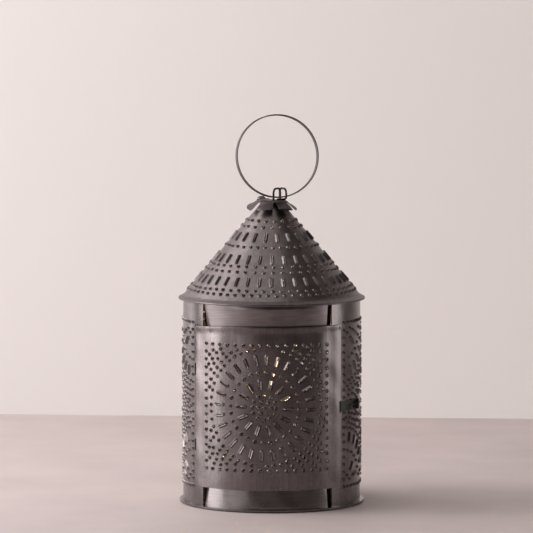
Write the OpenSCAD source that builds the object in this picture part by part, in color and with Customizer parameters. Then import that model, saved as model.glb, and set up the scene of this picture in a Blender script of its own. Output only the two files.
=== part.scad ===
// Candle lantern of pierced tin: a round body with a curved door, a cone roof and a ring to carry it by.
// The origin is the centre of the base on the table, +Z is up, and the door faces -Y.
// Angles round the body are counted from the middle of the door, positive towards +X.

/* [Body] */
// outer radius of the body sheet
body_r = 87.2; // [86.8:0.1:87.4]
// height of the body up to the roof's seam
body_top = 201.7; // [201:0.1:202]
// thickness of the sheet
sheet_t = 0.5; // [0.4:0.1:0.6]
// half angle of the gap in the body sheet behind the door
opening_half = 46; // [40:1:47]
// radius of the folded seam round the base
base_r = 90.7; // [90.4:0.1:91.2]

/* [Door] */
// half angle from the door's middle to the wire in its edge
door_half = 52.9; // [52:0.1:54]
// bottom edge of the door
door_bottom = 21.4; // [15:0.1:26]
// top edge of the door
door_top = 180.1; // [176:0.1:184]
// air between the closed door and the body sheet
door_gap = 0.35; // [0.3:0.05:0.5]
// radius of the wires rolled into the door's edges
wire_r = 0.55; // [0.5:0.05:0.6]
// heights of the two hinge straps' centres
hinge_heights = [62.1, 136];

/* [Latch] */
// height of the hasp's centre
latch_z = 100; // [90:1:110]
// height of the hasp strip
hasp_h = 10; // [9:0.5:11]
// angle the hasp strip runs round the body
hasp_sweep = 21; // [19:0.5:23]
// angle of the staple from the middle of the door
staple_at = 69.5; // [68:0.5:70]

/* [Roof] */
// radius of the roof's rim
rim_r = 91.7; // [91.5:0.1:92.5]
// height of the roof's open tip under the cap
tip_z = 296.8; // [296:0.1:296.8]
// radius of the flat top of the petal cap
cap_flat_r = 14.5; // [13:0.5:16]
// radius to the tips of the petals
petal_tip_r = 23.5; // [22:0.1:26]
// number of petals
petals = 6; // [5:1:8]

/* [Carrying ring] */
// middle radius of the ring
ring_r = 40.5; // [36:0.1:42]
// width of the ring's strip
ring_w = 8; // [6:0.5:8]
// how far the ring leans back at rest
ring_lean = 6; // [0:1:30]
// turn of the ring round the lantern's axis
ring_turn = 15; // [10:1:16]
// turn of the wire eye that holds it
eye_turn = 15; // [10:1:16]

/* [Candle] */
// radius of the candle
candle_r = 10.9; // [9:0.1:12]
// height of the candle's top
candle_top = 106; // [60:1:115]
// radius of the drip pan
pan_r = 34; // [28:1:45]

/* [Show] */
// which piece to draw

/* [Hidden] */
$fn = 96;
TIN = [0.30, 0.28, 0.27];
DARK_WIRE = [0.09, 0.09, 0.09];
WAX = [0.90, 0.85, 0.72];
COTTON = [0.20, 0.18, 0.16];
EPS = 0.05;
// how much fatter a wire is where a bend meets a straight
WELD = 1.03;

// seams: the body's flange is caught between the folds of the base and of the roof
fold_gap = 0.1;
base_raise = 1;
flange_z = base_raise + sheet_t + fold_gap;
lip_z = flange_z + sheet_t + fold_gap;
flange_r = base_r - sheet_t - 0.3;
wall_in = body_r - sheet_t;
foot_r = body_r - 3.2;
foot_slope = 1;
roof_lip_z = body_top - sheet_t - fold_gap;
// lock seam down the back: half angle, how far it stands out, and its clearance from the rims
lock_half = 1.6;
lock_t = 0.6;
lock_end = 0.3;

// door and the straps that wrap its wires
door_in = body_r + door_gap;
strap_t = 0.4;
strap_bore = wire_r + 0.05;
strap_out = strap_bore + strap_t;
hem_bore = wire_r + 0.03;
hem_out = hem_bore + strap_t - 0.03;
wire_at_r = door_in + hem_out;
loop_h = 10.6;
notch_h = 11.6;
notch_deep = 2.4;
loop_tab = 8;

// latch
hasp_in = body_r + 0.65;
curl_r = 1.4;
curl_turn = -40;
curl_sweep = 223;
staple_wire = 0.6;
staple_half = 2.2;
staple_reach = body_r + 1.2;
clinch = 3;
clinch_bend = 0.8;
slot_half_h = staple_half + staple_wire + 0.5;
slot_half_angle = 1.3;
pin_at_r = body_r + 1.9;
pin_tip = 3.4;
pin_tail = 11;
pin_hook = 4.5;
pin_bend_r = 1.5;

// strips above and below the door, pressed in behind its edges
strip_half = 43.6;
strip_in = 2.6;
header_low = 174;
sill_high = 27.6;

// roof
flare_z = 208.8;
flare_r = 83.4;
curve_r = 86.6;
curve_z = 205;
rim_top = body_top + fold_gap + sheet_t + 0.1;
tip_r = 8.6;
cone_low_r = 75.5;
cone_low_z = 218;
// height of the sheet measured upright on the cone's slope
roof_under = sheet_t * 1.3;

// cap and eye
cap_z = tip_z + sheet_t + 0.1;
cap_bend = 2;
cap_shoulder = 1.4;
cap_under = 0.6;
petal_root = 0.36;
petal_drop = 7.8;
petal_w = 13.5;
petal_turn = 15;
eye_wire = 1;
eye_top = 309.6;
eye_at = [7, 3.2];
eye_left = -6.9;
eye_middle = 2.5;
eye_right = 5.8;
arch_half_depth = 7;
arch_bend = 5;
turn_back = 2.3;
turn_bend = 1.05;
curl_bend = 2.5;
foot_bend = 1.6;
eye_floor = cap_z + eye_wire + EPS;
foot_low = 291.5;
foot_splay = 1.5;
foot_apart = 3.4;
ring_pivot_z = 303.3;
ring_drop = 3.3;
ring_slip = -1.1;
ring_edge_r = 0.6;
lap_from = -109;
lap_sweep = 31;
lap_t = 0.45;

// candle holder
floor_top = sheet_t;
pan_rim = floor_top + 8;
pan_flare = 3;
socket_bore = candle_r + 0.3;
socket_h = 25;
socket_foot = 17;
socket_lip = 3;
socket_flare = 1.2;
pan_top = floor_top + sheet_t;
candle_edge = 0.8;
melt_round = 1.6;
melt_lip = 3.5;
melt_pool = 3;
wick_deep = 8;
wick_h = 7;
wick_r = 0.8;

// turns +X outwards at an angle from the middle of the door
module at(angle) {
  rotate([0, 0, angle - 90]) children();
}

// a band of sheet rolled round the lantern's axis between two angles
module band(from, to, r, t, low, high) {
  at(from)
    rotate_extrude(angle = to - from)
      translate([r, low])
        square([t, high - low]);
}

function unit(v) = v / norm(v);
// how far a bend of radius r eats into the straight on each side of the corner between two runs
function corner_cut(p, i, r) =
  (i <= 0 || i >= len(p) - 1) ? 0 : r * tan(acos(unit(p[i] - p[i - 1]) * unit(p[i + 1] - p[i])) / 2);

// turns the children's axes to x, y and z and moves them to c
module axes(x, y, z, c) {
  multmatrix([[x[0], y[0], z[0], c[0]], [x[1], y[1], z[1], c[1]], [x[2], y[2], z[2], c[2]], [0, 0, 0, 1]])
    children();
}

// a round wire along points p, with a bend of radius bends[i] at each inner point
module wire_path(p, bends, wire) {
  for (i = [0 : len(p) - 2]) {
    d = unit(p[i + 1] - p[i]);
    side = unit(cross(d, abs(d[2]) > 0.9 ? [1, 0, 0] : [0, 0, 1]));
    start = corner_cut(p, i, bends[i]);
    run = norm(p[i + 1] - p[i]) - start - corner_cut(p, i + 1, bends[i + 1]);
    if (run > 0.01)
      axes(side, cross(d, side), d, p[i] + d * start) {
        cylinder(r = wire, h = run, $fn = 24);
        if (i > 0) sphere(r = wire * WELD, $fn = 24);
        if (i < len(p) - 2) translate([0, 0, run]) sphere(r = wire * WELD, $fn = 24);
      }
  }
  for (i = [1 : len(p) - 2]) {
    a = unit(p[i] - p[i - 1]);
    b = unit(p[i + 1] - p[i]);
    n = unit(b - a * (a * b));
    axes(-n, a, cross(-n, a), p[i] - a * corner_cut(p, i, bends[i]) + n * bends[i])
      rotate_extrude(angle = acos(a * b), $fn = 48)
        translate([bends[i], 0])
          circle(r = wire, $fn = 24);
  }
}

// ---- base and body

module base_plate() {
  color(TIN)
    rotate_extrude()
      polygon([[0, 0], [foot_r, 0], [foot_r + foot_slope, base_raise], [base_r, base_raise],
               [base_r, lip_z + sheet_t], [body_r + 0.1, lip_z + sheet_t], [body_r + 0.1, lip_z],
               [base_r - sheet_t, lip_z], [base_r - sheet_t, base_raise + sheet_t],
               [foot_r + foot_slope - 0.2, base_raise + sheet_t], [foot_r - 0.2, sheet_t], [0, sheet_t]]);
}

module wall_section() {
  polygon([[wall_in, flange_z], [flange_r, flange_z], [flange_r, flange_z + sheet_t],
           [body_r, flange_z + sheet_t], [body_r, body_top - sheet_t], [flange_r, body_top - sheet_t],
           [flange_r, body_top], [wall_in, body_top]]);
}

module body_wall() {
  color(TIN)
    difference() {
      union() {
        at(opening_half)
          rotate_extrude(angle = 360 - 2 * opening_half)
            wall_section();
        // lock seam down the back
        band(180 - lock_half, 180 + lock_half, body_r - EPS, lock_t, lip_z + sheet_t + lock_end,
             roof_lip_z - sheet_t - lock_end);
      }
      // slots for the hinge straps
      for (z = hinge_heights)
        at(-door_half)
          translate([wall_in - 1, -0.4, z - loop_h / 2 - 0.2])
            cube([3, 0.8, loop_h + 0.4]);
      // holes for the staple
      for (side = [-1, 1])
        at(staple_at)
          translate([wall_in - 1, 0, latch_z + side * staple_half])
            rotate([0, 90, 0])
              cylinder(r = staple_wire + EPS, h = 3, $fn = 24);
    }
}

// strips whose rim edges are caught in the seams and whose free edges are pressed in behind the door

module header_strip() {
  color(TIN)
    at(-strip_half)
      rotate_extrude(angle = 2 * strip_half)
        polygon([[wall_in, body_top], [wall_in - strip_in, header_low], [body_r - strip_in, header_low],
                 [body_r, body_top - sheet_t], [flange_r, body_top - sheet_t], [flange_r, body_top]]);
}

module sill_strip() {
  color(TIN)
    at(-strip_half)
      rotate_extrude(angle = 2 * strip_half)
        polygon([[wall_in, flange_z], [flange_r, flange_z], [flange_r, flange_z + sheet_t],
                 [body_r, flange_z + sheet_t], [body_r - strip_in, sill_high],
                 [wall_in - strip_in, sill_high]]);
}

// ---- roof, cap and ring

module roof_cone() {
  color(TIN)
    rotate_extrude()
      polygon([[tip_r, tip_z], [cone_low_r, cone_low_z], [flare_r, flare_z], [curve_r, curve_z],
               [rim_r, rim_top], [rim_r, roof_lip_z - sheet_t], [body_r + 0.1, roof_lip_z - sheet_t],
               [body_r + 0.1, roof_lip_z], [rim_r - sheet_t, roof_lip_z],
               [rim_r - sheet_t, rim_top - sheet_t], [curve_r - 0.2, curve_z - roof_under],
               [flare_r, flare_z - roof_under], [cone_low_r, cone_low_z - roof_under],
               [tip_r - sheet_t, tip_z - 0.1]]);
}

module petal_outline() {
  circle(r = cap_flat_r + 1);
  for (k = [0 : petals - 1])
    rotate(k * 360 / petals + petal_turn)
      polygon([[0, -petal_w * petal_root], [petal_tip_r - 1, -petal_w / 2], [petal_tip_r + 1, 0],
               [petal_tip_r - 1, petal_w / 2], [0, petal_w * petal_root]]);
}

module petal_cap() {
  color(TIN)
    difference() {
      intersection() {
        rotate_extrude()
          polygon([[0, cap_z - sheet_t], [cap_flat_r, cap_z - sheet_t],
                   [cap_flat_r + cap_bend, cap_z - cap_shoulder - cap_under],
                   [petal_tip_r - 0.3, cap_z - petal_drop - 0.4], [petal_tip_r, cap_z - petal_drop],
                   [cap_flat_r + cap_bend, cap_z - cap_shoulder], [cap_flat_r, cap_z], [0, cap_z]]);
        translate([0, 0, cap_z - petal_drop - 2])
          linear_extrude(petal_drop + 4)
            petal_outline();
      }
      for (p = [foot_a, foot_b])
        translate([p[0], p[1], cap_z - 2])
          cylinder(r = eye_wire + EPS, h = 3, $fn = 24);
    }
}

// a point of the eye, from its distances along and across the ring's strip
function eye_point(along, across, z) = [eye_at[0] + along * cos(eye_turn) - across * sin(eye_turn),
                                        eye_at[1] + along * sin(eye_turn) + across * cos(eye_turn), z];
// where the two feet of the eye go down through the cap
foot_a = eye_point(eye_left, -arch_half_depth, 0);
foot_b = eye_point(eye_left + foot_apart, -arch_half_depth, 0);

// one wire bent over the ring's strip twice, with both feet spread out under the roof's tip
module hanger_eye() {
  crown = eye_top - eye_wire;
  front = -arch_half_depth;
  back = arch_half_depth;
  color(DARK_WIRE)
    wire_path([[foot_a[0] - foot_splay, foot_a[1] - foot_splay, foot_low - foot_splay],
               [foot_a[0], foot_a[1], foot_low],
               eye_point(eye_left, front, crown), eye_point(eye_middle, back, crown),
               eye_point(eye_middle, back, eye_floor), eye_point(eye_middle, back + turn_back, eye_floor),
               eye_point(eye_middle, back + turn_back, crown), eye_point(eye_right, front, crown),
               eye_point(eye_right, front, eye_floor), [foot_b[0], foot_b[1], eye_floor],
               [foot_b[0], foot_b[1], foot_low],
               [foot_b[0] + foot_splay, foot_b[1] - foot_splay, foot_low - foot_splay]],
              [0, foot_bend, arch_bend, arch_bend, turn_bend, turn_bend, arch_bend, arch_bend, curl_bend,
               foot_bend, foot_bend, 0], eye_wire);
}

// the strip with a wired edge on both sides, bent round until its ends lap at the bottom
module ring_strap() {
  pivot = eye_point(ring_slip, 0, ring_pivot_z);
  color(TIN)
    translate(pivot)
      rotate([0, 0, ring_turn])
        rotate([-ring_lean, 0, 0])
          translate([0, 0, ring_r - ring_drop])
            rotate([90, 0, 0]) {
              rotate_extrude()
                union() {
                  translate([ring_r - sheet_t / 2, -ring_w / 2 + ring_edge_r])
                    square([sheet_t, ring_w - 2 * ring_edge_r]);
                  for (side = [-1, 1])
                    translate([ring_r, side * (ring_w / 2 - ring_edge_r)])
                      circle(r = ring_edge_r, $fn = 24);
                }
              rotate([0, 0, lap_from])
                rotate_extrude(angle = lap_sweep)
                  translate([ring_r - sheet_t / 2 - lap_t, -ring_w / 2 + 3 * ring_edge_r])
                    square([lap_t + EPS, ring_w - 6 * ring_edge_r]);
            }
}

// ---- door

module door_edge(side) {
  at(side * door_half)
    translate([wire_at_r, 0, door_bottom])
      cylinder(r = hem_out, h = door_top - door_bottom, $fn = 32);
}

module edge_notch(side, z) {
  at(side * door_half)
    translate([door_in - 1, -notch_deep, z - notch_h / 2])
      cube([4, 2 * notch_deep, notch_h]);
}

module door_panel() {
  color(TIN)
    difference() {
      union() {
        band(-door_half, door_half, door_in, sheet_t, door_bottom, door_top);
        door_edge(-1);
        door_edge(1);
      }
      for (side = [-1, 1])
        at(side * door_half)
          translate([wire_at_r, 0, door_bottom - 1])
            cylinder(r = hem_bore, h = door_top - door_bottom + 2, $fn = 32);
      for (z = hinge_heights)
        edge_notch(-1, z);
      edge_notch(1, latch_z);
    }
}

module edge_wire(side) {
  color(DARK_WIRE)
    at(side * door_half)
      translate([wire_at_r, 0, door_bottom + 0.4])
        cylinder(r = wire_r, h = door_top - door_bottom - 0.8, $fn = 32);
}

module hinge_wire() {
  edge_wire(-1);
}

module hasp_wire() {
  edge_wire(1);
}

// a strap rolled round the door's wire, passed through the body and turned flat inside it
module hinge_loop(z) {
  tab_r = wall_in - EPS;
  color(TIN)
    at(-door_half)
      translate([0, 0, z - loop_h / 2])
        linear_extrude(loop_h)
          difference() {
            union() {
              translate([wire_at_r, 0]) circle(r = strap_out, $fn = 32);
              translate([tab_r - strap_t / 2, -strap_t / 2]) square([wire_at_r - tab_r, strap_t]);
              intersection() {
                difference() {
                  circle(r = tab_r);
                  circle(r = tab_r - strap_t);
                }
                translate([tab_r - 2, -loop_tab]) square([3, loop_tab + 0.15]);
              }
            }
            translate([wire_at_r, 0]) circle(r = strap_bore, $fn = 32);
          }
}

module hinge_loop_upper() {
  hinge_loop(hinge_heights[1]);
}

module hinge_loop_lower() {
  hinge_loop(hinge_heights[0]);
}

// ---- latch

module hasp() {
  low = latch_z - hasp_h / 2;
  color(TIN)
    difference() {
      union() {
        at(door_half)
          translate([wire_at_r, 0, low])
            cylinder(r = strap_out, h = hasp_h, $fn = 32);
        band(door_half + 0.5, door_half + hasp_sweep, hasp_in, strap_t, low, low + hasp_h);
        // end curled out as a finger grip
        at(door_half + hasp_sweep)
          translate([hasp_in + strap_t / 2 + curl_r, 0, low])
            rotate([0, 0, curl_turn])
              rotate_extrude(angle = curl_sweep, $fn = 32)
                translate([curl_r - strap_t / 2 + 0.02, 0])
                  square([strap_t - 0.04, hasp_h]);
      }
      at(door_half)
        translate([wire_at_r, 0, low - 1])
          cylinder(r = strap_bore, h = hasp_h + 2, $fn = 32);
      band(staple_at - slot_half_angle, staple_at + slot_half_angle, hasp_in - 1, 3,
           latch_z - slot_half_h, latch_z + slot_half_h);
    }
}

module staple() {
  leg_in = wall_in - staple_wire - 0.2;
  tip = staple_reach + staple_half;
  low = latch_z - staple_half;
  high = latch_z + staple_half;
  color(DARK_WIRE)
    at(staple_at)
      wire_path([[leg_in, 0, low - clinch], [leg_in, 0, low], [tip, 0, low],
                 [tip, 0, high], [leg_in, 0, high], [leg_in, 0, high + clinch]],
                [0, clinch_bend, staple_half, staple_half, clinch_bend, 0], staple_wire);
}

// lies along the hasp inside the staple's bow, with its tail hooked down
module latch_pin() {
  color(DARK_WIRE)
    at(staple_at)
      wire_path([[pin_at_r, pin_tip, latch_z], [pin_at_r, -pin_tail, latch_z],
                 [pin_at_r, -pin_tail, latch_z - pin_hook]],
                [0, pin_bend_r, 0], staple_wire);
}

// ---- candle and its holder

module drip_pan() {
  color(TIN)
    rotate_extrude()
      polygon([[0, floor_top], [pan_r - pan_flare, floor_top], [pan_r, pan_rim], [pan_r + 1, pan_rim],
               [pan_r + 1, pan_rim + sheet_t], [pan_r - sheet_t, pan_rim + sheet_t],
               [pan_r - pan_flare - sheet_t, pan_top], [0, pan_top]]);
}

module candle_socket() {
  color(TIN)
    rotate_extrude()
      polygon([[socket_bore, pan_top], [socket_foot, pan_top], [socket_foot, pan_top + sheet_t],
               [socket_bore + sheet_t, pan_top + sheet_t], [socket_bore + sheet_t, pan_top + socket_h],
               [socket_bore + socket_lip, pan_top + socket_h + socket_flare],
               [socket_bore + socket_lip, pan_top + socket_h + socket_flare + sheet_t],
               [socket_bore, pan_top + socket_h + sheet_t + 0.1]]);
}

module candle() {
  base_z = pan_top + 0.1;
  color(WAX)
    difference() {
      rotate_extrude()
        polygon([[0, base_z], [candle_r - candle_edge, base_z], [candle_r, base_z + candle_edge],
                 [candle_r, candle_top - melt_round], [candle_r - melt_round + 0.2, candle_top],
                 [candle_r - melt_lip, candle_top - 1.2], [0, candle_top - melt_pool]]);
      translate([0, 0, candle_top - wick_deep - EPS])
        cylinder(r = wick_r + EPS, h = wick_deep + 2, $fn = 24);
    }
}

module wick() {
  color(COTTON)
    translate([0, 0, candle_top - wick_deep])
      cylinder(r = wick_r, h = wick_deep + wick_h, $fn = 24);
}

base_plate();
body_wall();
header_strip();
sill_strip();
roof_cone();
petal_cap();
hanger_eye();
ring_strap();
door_panel();
hinge_wire();
hasp_wire();
hinge_loop_upper();
hinge_loop_lower();
hasp();
staple();
latch_pin();
drip_pan();
candle_socket();
candle();
wick();
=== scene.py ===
"""Looks for the candle lantern: pierced tin sheets, wires, candle and the table it stands on."""

import math
import random

import bpy
import numpy as np
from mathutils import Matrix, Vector
from mathutils.geometry import delaunay_2d_cdt


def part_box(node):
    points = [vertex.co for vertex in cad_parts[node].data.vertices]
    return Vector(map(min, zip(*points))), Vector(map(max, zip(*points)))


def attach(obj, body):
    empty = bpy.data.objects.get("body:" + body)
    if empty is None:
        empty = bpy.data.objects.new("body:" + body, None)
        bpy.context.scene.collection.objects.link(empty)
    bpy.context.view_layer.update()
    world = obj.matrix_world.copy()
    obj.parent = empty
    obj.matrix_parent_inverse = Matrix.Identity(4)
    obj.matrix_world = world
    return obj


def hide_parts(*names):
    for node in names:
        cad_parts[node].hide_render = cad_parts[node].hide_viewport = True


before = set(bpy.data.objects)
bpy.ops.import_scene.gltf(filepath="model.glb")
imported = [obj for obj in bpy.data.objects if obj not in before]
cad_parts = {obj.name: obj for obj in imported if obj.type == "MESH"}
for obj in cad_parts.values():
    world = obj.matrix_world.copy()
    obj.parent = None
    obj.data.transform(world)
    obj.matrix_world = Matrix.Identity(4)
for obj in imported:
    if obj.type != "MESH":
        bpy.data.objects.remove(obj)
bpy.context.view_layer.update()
rng = random.Random(20)
MM = 0.001

# ---------------------------------------------------------------- sizes, from the CAD model


def box_mm(node):
    """The low and high corners of a CAD node, in mm."""
    low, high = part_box(node)
    return [round(v / MM, 3) for v in low], [round(v / MM, 3) for v in high]


def middle_z(node):
    low, high = box_mm(node)
    return round((low[2] + high[2]) / 2, 3)


door_low, door_high = box_mm("door_panel")
wall_low, wall_high = box_mm("body_wall")
roof_low, roof_high = box_mm("roof_cone")

SHEET = 0.5
DOOR_GAP = 0.35
WIRE_OUT = 0.95
DOOR_R = -door_low[1]
BODY_R = DOOR_R - SHEET - DOOR_GAP
WIRE_AT = BODY_R + DOOR_GAP + WIRE_OUT
DOOR_Z0, DOOR_Z1 = door_low[2], door_high[2]
# half widths, in degrees round the axis
OPENING = 46.0
DOOR_HALF = 52.9
HINGE_Z = (middle_z("hinge_loop_lower"), middle_z("hinge_loop_upper"))
LATCH_Z = middle_z("hasp")
NOTCH_H = 11.6
NOTCH_DEEP = 2.4
# the body sheet between its two flanges
SEAM_LOW = wall_low[2] + 0.3
SEAM_HIGH = wall_high[2] - SHEET
# outline of the roof sheet from its tip down to the rim
ROOF_TOP = (8.6, roof_high[2])
RIM = ((83.4, 208.8), (86.6, 205.0), (roof_high[0], 202.4))
CONE_SLOPE = (RIM[0][0] - ROOF_TOP[0]) / (ROOF_TOP[1] - RIM[0][1])
CONE_APEX_Z = ROOF_TOP[1] + ROOF_TOP[0] / CONE_SLOPE
SIN_HALF = CONE_SLOPE / math.hypot(1, CONE_SLOPE)

# ---------------------------------------------------------------- places and curves


def polar(angle, r, z):
    """A point at an angle in degrees from the middle of the door, in mm, as metres."""
    a = math.radians(angle)
    return (r * math.sin(a) * MM, -r * math.cos(a) * MM, z * MM)


def spoke(r, degrees):
    """The flat point at a distance and direction from the origin."""
    a = math.radians(degrees)
    return r * math.cos(a), r * math.sin(a)


def turned(x, y, degrees):
    """A flat point turned round the origin."""
    c, s = spoke(1, degrees)
    return x * c - y * s, x * s + y * c


def smooth(t):
    """A soft step from 0 to 1 as t goes from 0 to 1."""
    t = max(0.0, min(1.0, t))
    return t * t * (3 - 2 * t)


def rise(value, start, run):
    """A soft step that begins at start and is full after run."""
    return smooth((value - start) / run)


def wobble(x, y, amount):
    """The slight unevenness of hammered sheet, in mm."""
    broad = math.sin(x * 0.11 + 1.3 * math.sin(y * 0.05)) * math.sin(y * 0.083 + 0.7)
    return amount * (broad + 0.5 * math.sin(x * 0.23 + y * 0.19 + 2.0))


# ---------------------------------------------------------------- meshes


def new_object(name, verts, faces, material, body, sharp=40.0):
    """A smooth-shaded piece that rides a body, with creases at edges sharper than an angle in degrees."""
    mesh = bpy.data.meshes.new(name)
    mesh.from_pydata([tuple(v) for v in verts], [], [tuple(int(i) for i in f) for f in faces])
    mesh.validate()
    for p in mesh.polygons:
        p.use_smooth = True
    mesh.set_sharp_from_angle(angle=math.radians(sharp))
    obj = bpy.data.objects.new(name, mesh)
    bpy.context.scene.collection.objects.link(obj)
    mesh.materials.append(material)
    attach(obj, body)
    return obj


def line_faces(obj, first, last, painted_shade):
    """Gives a run of faces, a sheet's inner side, a material of their own: the near-black painted shade of
    the lantern's inside.
    """
    obj.data.materials.append(painted_shade)
    for p in obj.data.polygons[first:last]:
        p.material_index = 1


def grid_sheet(name, point, columns, rows, material, body, painted_shade, sharp=40.0):
    """A thin sheet over a grid: point(u, v, inner) gives a place in metres on its outer or inner side, and
    the inner side takes the painted-shade material.
    """
    verts = [point(u, v, inner) for inner in (False, True) for v in rows for u in columns]
    m, n = len(columns), len(columns) * len(rows)
    outer, inner = [], []
    for j in range(len(rows) - 1):
        for i in range(m - 1):
            quad = (j * m + i, j * m + i + 1, (j + 1) * m + i + 1, (j + 1) * m + i)
            outer.append(quad)
            inner.append(tuple(k + n for k in quad[::-1]))
    edge = [i for i in range(m)] + [j * m + m - 1 for j in range(1, len(rows))]
    edge += [n - 1 - i for i in range(1, m)] + [j * m for j in range(len(rows) - 2, 0, -1)]
    walls = [(b, a, a + n, b + n) for a, b in zip(edge, edge[1:] + edge[:1])]
    sheet = new_object(name, verts, outer + inner + walls, material, body, sharp)
    line_faces(sheet, len(outer), len(outer) + len(inner), painted_shade)
    return sheet


def lathe(name, profile, material, body, steps):
    """A closed (r, z) profile in mm turned round the lantern's axis."""
    verts = [polar(360 * k / steps, r, z) for k in range(steps) for r, z in profile]
    faces = []
    m = len(profile)
    for k in range(steps):
        p, q = k * m, ((k + 1) % steps) * m
        for i in range(m):
            j = (i + 1) % m
            faces.append((p + i, q + i, q + j, p + j))
    return new_object(name, verts, faces, material, body, 35.0)


# ---------------------------------------------------------------- pierced sheets

# rings round a punch, from its hole out to the flat sheet: sizes and height over the sheet
DOT_RINGS = ((0.85, 1.05), (1.12, 1.34), (1.5, 0.62), (2.1, 0.0))
SLIT_RINGS = ((4.6, 0.36, 1.2), (5.0, 0.80, 1.45), (5.45, 1.45, 0.72), (5.9, 2.1, 0.0))
DOT_POINTS = 11
BAR_END_POINTS = 6
# the burr's two inner rings are torn out of round
TORN_RINGS = 2
# below 1 an oval is squarer at its ends, as a chisel leaves it
OVAL_POWER = 0.85
# the underside of a burr is a little lower than its outside
BURR_INSIDE = 0.92
GRID_STEP = 3.2
GRID_ROW = GRID_STEP * 0.866
GRID_SHAKE = 0.05
# how far plain points keep from punches, cuts and edges
DOT_CLEAR = 0.75
SLIT_SPOTS = (-4.1, -2.0, 0.0, 2.0, 4.1)
SLIT_SPOT_R = 1.9
SLIT_CLEAR = 0.9
CUT_CLEAR = 0.6
EDGE_CLEAR = 0.8
NO_HOLE = -1
TINY = 1e-6
SAME_POINT = 1e-5


def oval_points(x, y, along, across, turn):
    """An oval round (x, y), with half sizes along and across a direction in degrees."""
    out = []
    for k in range(DOT_POINTS):
        t = 2 * math.pi * k / DOT_POINTS
        px = along * math.copysign(abs(math.cos(t)) ** OVAL_POWER, math.cos(t))
        dx, dy = turned(px, across * math.sin(t), turn)
        out.append((x + dx, y + dy))
    return out


def bar_points(x, y, half_long, half_wide, turn):
    """The outline of a straight bar with round ends, centred on (x, y)."""
    straight = half_long - half_wide
    flat = []
    for end in (1, -1):
        for k in range(BAR_END_POINTS):
            t = math.radians(-90 + 180 * k / (BAR_END_POINTS - 1))
            flat.append((end * (straight + half_wide * math.cos(t)), end * half_wide * math.sin(t)))
        flat += [(end * straight * side, end * half_wide) for side in (0.5, 0.0, -0.5)]
    corners = [turned(px, py, turn) for px, py in flat]
    return [(x + dx, y + dy) for dx, dy in corners]


class Net:
    """The points, heights and edges of a flat sheet before it is cut into triangles."""

    def __init__(self):
        self.points = []
        self.heights = []
        self.holes = []
        self.edges = []

    def add(self, points, height=0.0, hole=NO_HOLE):
        self.points += points
        self.heights += [height] * len(points)
        self.holes += [hole] * len(points)

    def add_line(self, points, closed, height=0.0, hole=NO_HOLE):
        first, count = len(self.points), len(points)
        self.add(points, height, hole)
        self.edges += [(first + k, first + (k + 1) % count) for k in range(count if closed else count - 1)]


def punch(net, dots, slits):
    """Adds the rings of every dot and slit, and gives the round spots that plain points keep out of."""
    spots = []
    for number, (x, y) in enumerate(dots):
        size = rng.uniform(0.93, 1.07)
        turn = rng.uniform(0, 36)
        for k, (r, h) in enumerate(DOT_RINGS):
            squash = rng.uniform(0.92, 1.08) if k < TORN_RINGS else 1.0
            oval = oval_points(x, y, r * size * squash, r * size / squash, turn)
            net.add_line(oval, True, h * size, number if k == 0 else NO_HOLE)
        spots.append((x, y, DOT_RINGS[-1][0] * size + DOT_CLEAR))
    for number, (x, y, direction) in enumerate(slits):
        size = rng.uniform(0.96, 1.04)
        turn = direction + rng.uniform(-2.5, 2.5)
        for k, (half_long, half_wide, h) in enumerate(SLIT_RINGS):
            bar = bar_points(x, y, half_long * size, half_wide * size, turn)
            net.add_line(bar, True, h * size, len(dots) + number if k == 0 else NO_HOLE)
        for along in SLIT_SPOTS:
            dx, dy = spoke(along * size, turn)
            spots.append((x + dx, y + dy, SLIT_SPOT_R * size + SLIT_CLEAR))
    return spots


def in_box(points, box, margin=0.0):
    """Which of an array of flat points lie in a box widened by a margin."""
    x0, y0, x1, y1 = box
    across = (points[:, 0] > x0 - margin) & (points[:, 0] < x1 + margin)
    return across & (points[:, 1] > y0 - margin) & (points[:, 1] < y1 + margin)


def plain_points(low, high, keep, spots, cuts):
    """A staggered grid of points wherever no punch, cut or edge is near."""
    grid = []
    y, row = low[1], 0
    while y < high[1] + TINY:
        x = low[0] + (GRID_STEP / 2 if row % 2 else 0)
        while x < high[0] + TINY:
            grid.append((x, y))
            x += GRID_STEP
        y += GRID_ROW
        row += 1
    grid = np.array([p for p in grid if keep is None or keep(*p)])
    shake = [[rng.uniform(-GRID_SHAKE, GRID_SHAKE) * GRID_STEP for _ in range(2)] for _ in grid]
    grid = grid + np.array(shake)
    clear = np.ones(len(grid), bool)
    for x, y, radius in spots:
        clear &= np.hypot(grid[:, 0] - x, grid[:, 1] - y) > radius
    for box in cuts:
        clear &= ~in_box(grid, box, CUT_CLEAR)
    if keep is None:
        clear &= in_box(grid, (*low, *high), -EDGE_CLEAR)
    return [(float(x), float(y)) for x, y in grid[clear]]


def border_points(low, high):
    """Points round a rectangle, about one grid step apart."""
    corners = [(low[0], low[1]), (high[0], low[1]), (high[0], high[1]), (low[0], high[1])]
    out = []
    for (ax, ay), (bx, by) in zip(corners, corners[1:] + corners[:1]):
        count = max(2, int(max(abs(bx - ax), abs(by - ay)) / GRID_STEP))
        out += [(ax + (bx - ax) * k / count, ay + (by - ay) * k / count) for k in range(count)]
    return out


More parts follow.
